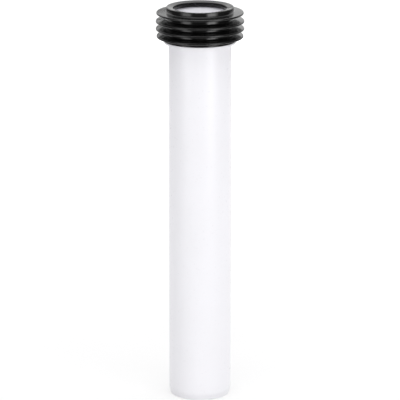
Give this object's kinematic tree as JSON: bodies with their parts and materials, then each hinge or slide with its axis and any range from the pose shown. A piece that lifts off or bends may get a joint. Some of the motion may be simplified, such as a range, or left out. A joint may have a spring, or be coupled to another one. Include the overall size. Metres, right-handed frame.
{
  "type": "straight flush pipe",
  "caption": "Straight white plastic flush pipe with a bevelled plain end and a black finned rubber seal against a stop flange at the other end, for joining a cistern to a toilet pan.",
  "frame": {"origin": "centre of the pipe's plain end, on the surface that it stands on", "axes": "+Z along the pipe's axis, from the plain end towards the finned seal; +X and +Y are free, because the part is round"},
  "size_m": [0.0632, 0.063, 0.2882],
  "materials": {
    "white_plastic": "smooth moulded, satin",
    "black_rubber": "smooth moulded, low sheen"
  },
  "bodies": {
    "root": {"flush_pipe": "white_plastic", "finned_seal": "black_rubber"}
  },
  "joints": []
}
